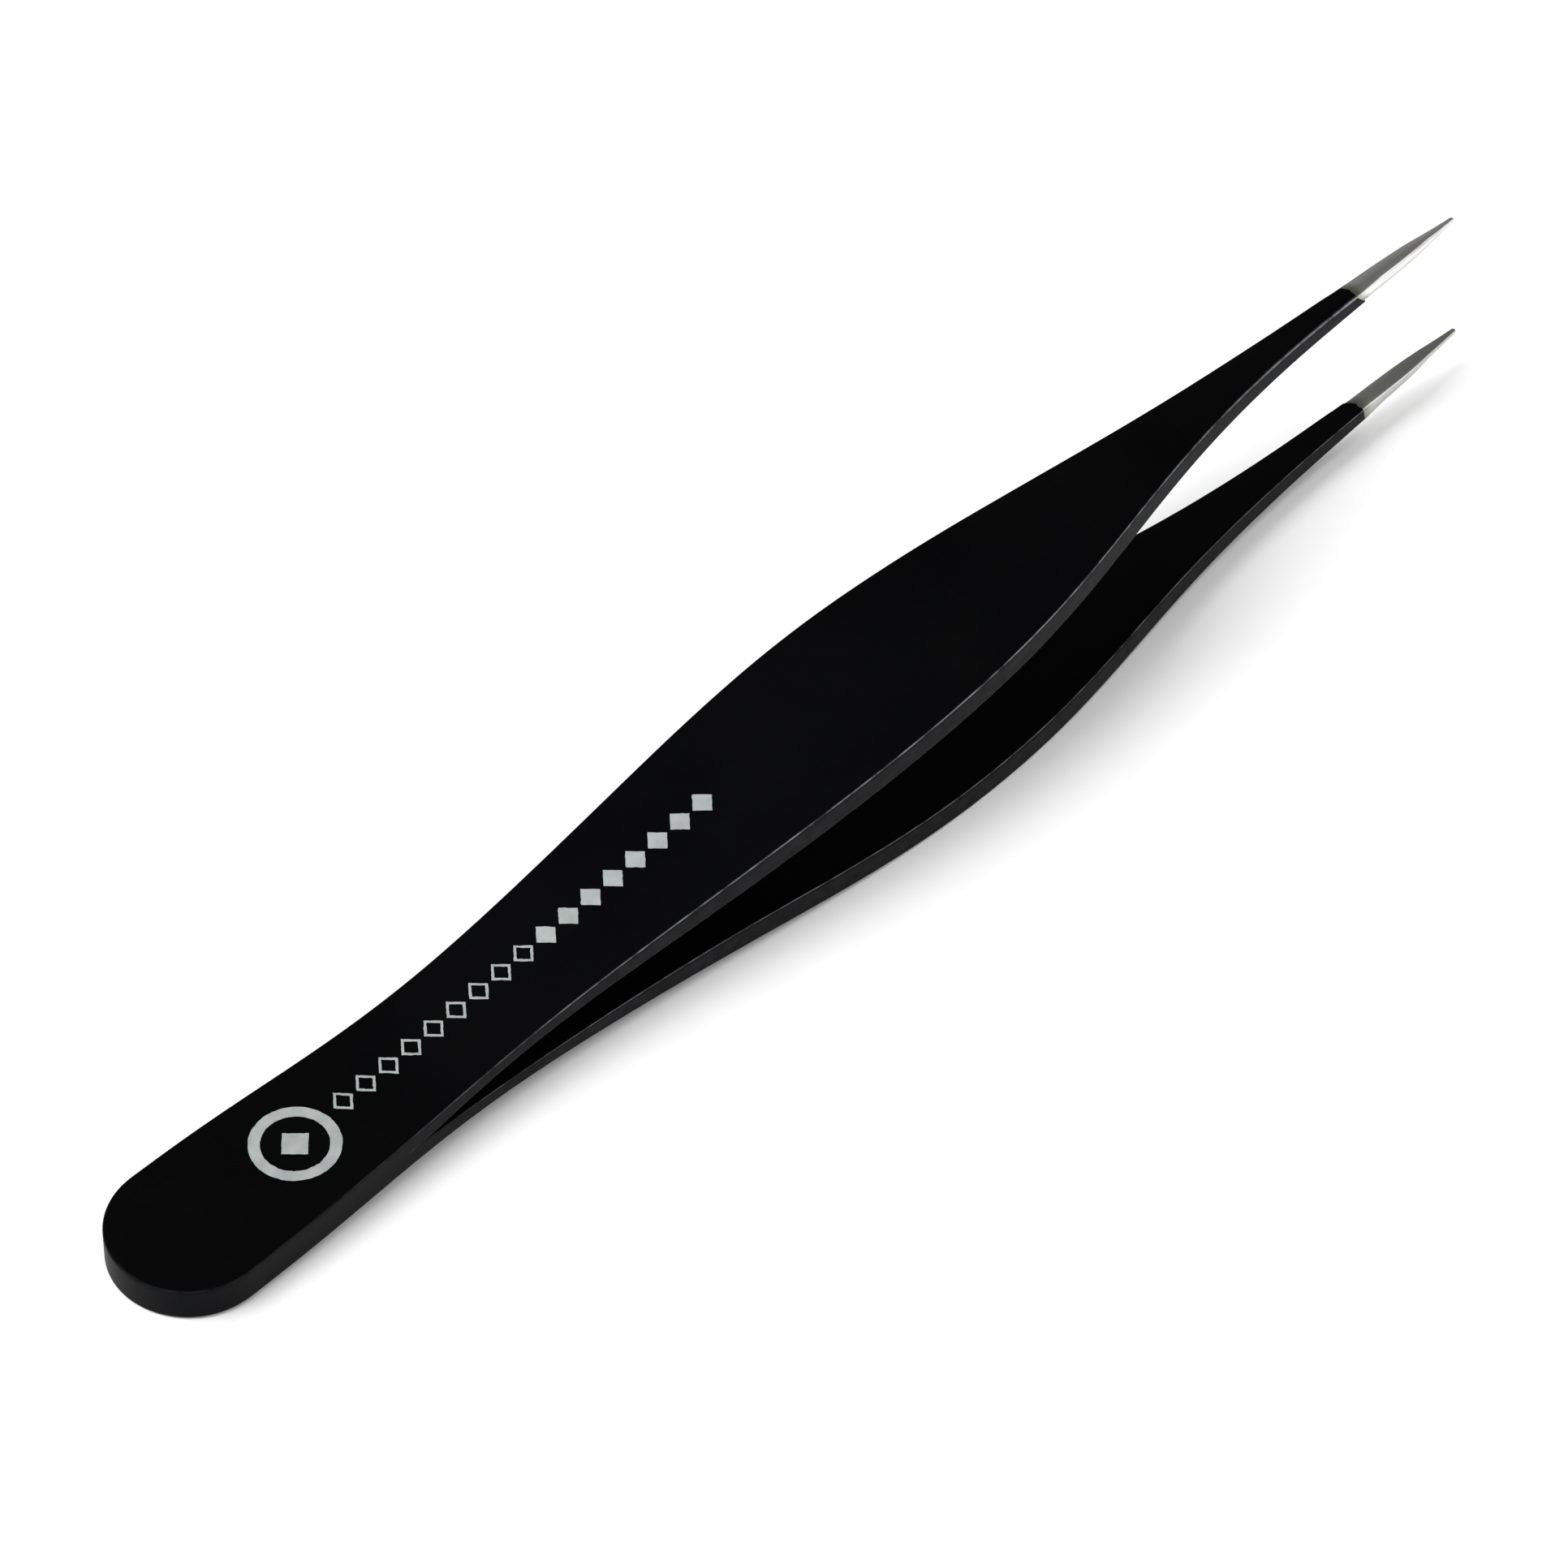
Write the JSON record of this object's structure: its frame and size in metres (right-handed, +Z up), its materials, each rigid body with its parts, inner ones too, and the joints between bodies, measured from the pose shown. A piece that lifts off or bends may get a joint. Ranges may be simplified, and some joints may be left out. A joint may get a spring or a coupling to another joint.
{
  "type": "tweezers",
  "caption": "Needle-point tweezers: two bowed sprung steel arms welded at a rounded heel, black coated but for the bare pointed tips, with a plain printed mark.",
  "frame": {"origin": "on the surface the tweezers lie on, under the middle of their length and width", "axes": "+X from the welded heel to the tips, +Z up and roughly the way the arms open, +Y across the arms; the tweezers lie on the heel end and the lower arm, so their mid-plane rises 3.5 degrees towards the tips"},
  "size_m": [0.1139, 0.0119, 0.0137],
  "materials": {
    "spring_steel": "ground and brushed stainless steel",
    "black_coating": "satin black baked coating",
    "weld_steel": "fused stainless steel",
    "print_ink": "light grey pad-printing ink"
  },
  "bodies": {
    "heel": {"upper_heel_strip": "spring_steel", "lower_heel_strip": "spring_steel", "spot_welds": "weld_steel", "heel_coating": "black_coating", "heel_print": "print_ink"},
    "upper_arm": {"upper_arm_strip": "spring_steel", "upper_arm_coating": "black_coating", "arm_print": "print_ink"},
    "lower_arm": {"lower_arm_strip": "spring_steel", "lower_arm_coating": "black_coating"}
  },
  "joints": [
    {"name": "upper_arm_flex", "type": "hinge", "parent": "heel", "child": "upper_arm", "pos_m": [-0.02438, 0, 0.00483], "axis": [0, 1, 0], "range_deg": [0, 3.61], "stiffness_Nm_per_rad": 0.85},
    {"name": "lower_arm_flex", "type": "hinge", "parent": "heel", "child": "lower_arm", "pos_m": [-0.02419, 0, 0.00165], "axis": [0, -1, 0], "range_deg": [0, 3.61], "stiffness_Nm_per_rad": 0.85}
  ]
}
